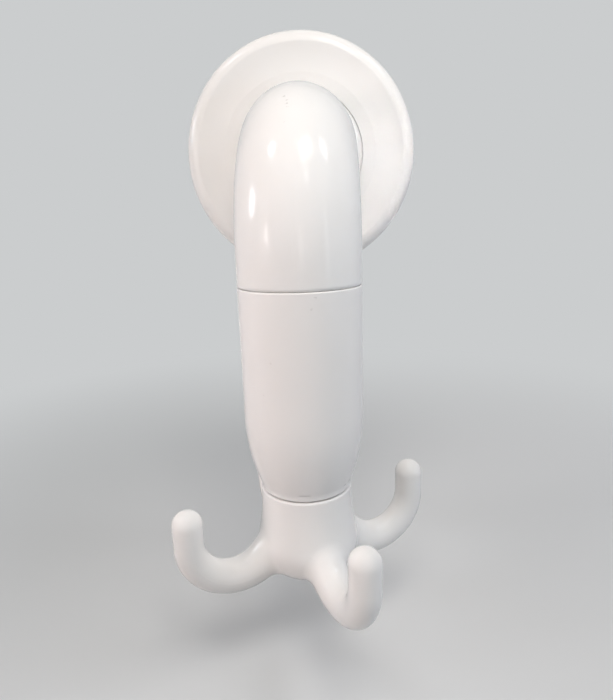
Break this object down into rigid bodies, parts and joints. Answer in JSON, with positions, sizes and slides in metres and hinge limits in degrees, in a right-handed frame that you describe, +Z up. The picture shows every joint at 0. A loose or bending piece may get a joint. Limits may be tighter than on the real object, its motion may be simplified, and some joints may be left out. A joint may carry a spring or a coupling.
{
  "type": "multi-prong wall hook",
  "caption": "White moulded wall hook: a round adhesive plate, a swivelling quarter-bend arm and a turning head with upturned round-ended prongs.",
  "frame": {"origin": "centre of the face that meets the wall, at the middle of the round plate", "axes": "+Y into the wall, +Z up, +X to the right as seen from the room"},
  "size_m": [0.08, 0.0907, 0.1727],
  "materials": {
    "plate_plastic": "gloss white moulding",
    "cover_plastic": "plain white moulding",
    "pad_foam": "matt closed-cell foam",
    "arm_plastic": "gloss white moulding",
    "barrel_plastic": "gloss white moulding",
    "head_plastic": "gloss white moulding",
    "fastener_steel": "zinc-plated steel"
  },
  "bodies": {
    "plate": {"wall_plate": "plate_plastic", "back_cover": "cover_plastic", "adhesive_pad": "pad_foam"},
    "arm": {"elbow_arm": "arm_plastic", "barrel": "barrel_plastic", "neck_washer": "fastener_steel", "neck_screw": "fastener_steel"},
    "head": {"hook_head": "head_plastic", "head_washer": "fastener_steel", "head_screw": "fastener_steel"}
  },
  "joints": [
    {"name": "arm_swivel", "type": "hinge", "parent": "plate", "child": "arm", "pos_m": [0, 0, 0], "axis": [0, 1, 0], "continuous": true},
    {"name": "head_swivel", "type": "hinge", "parent": "arm", "child": "head", "pos_m": [0, -0.052, -0.102], "axis": [0, 0, 1], "continuous": true}
  ]
}
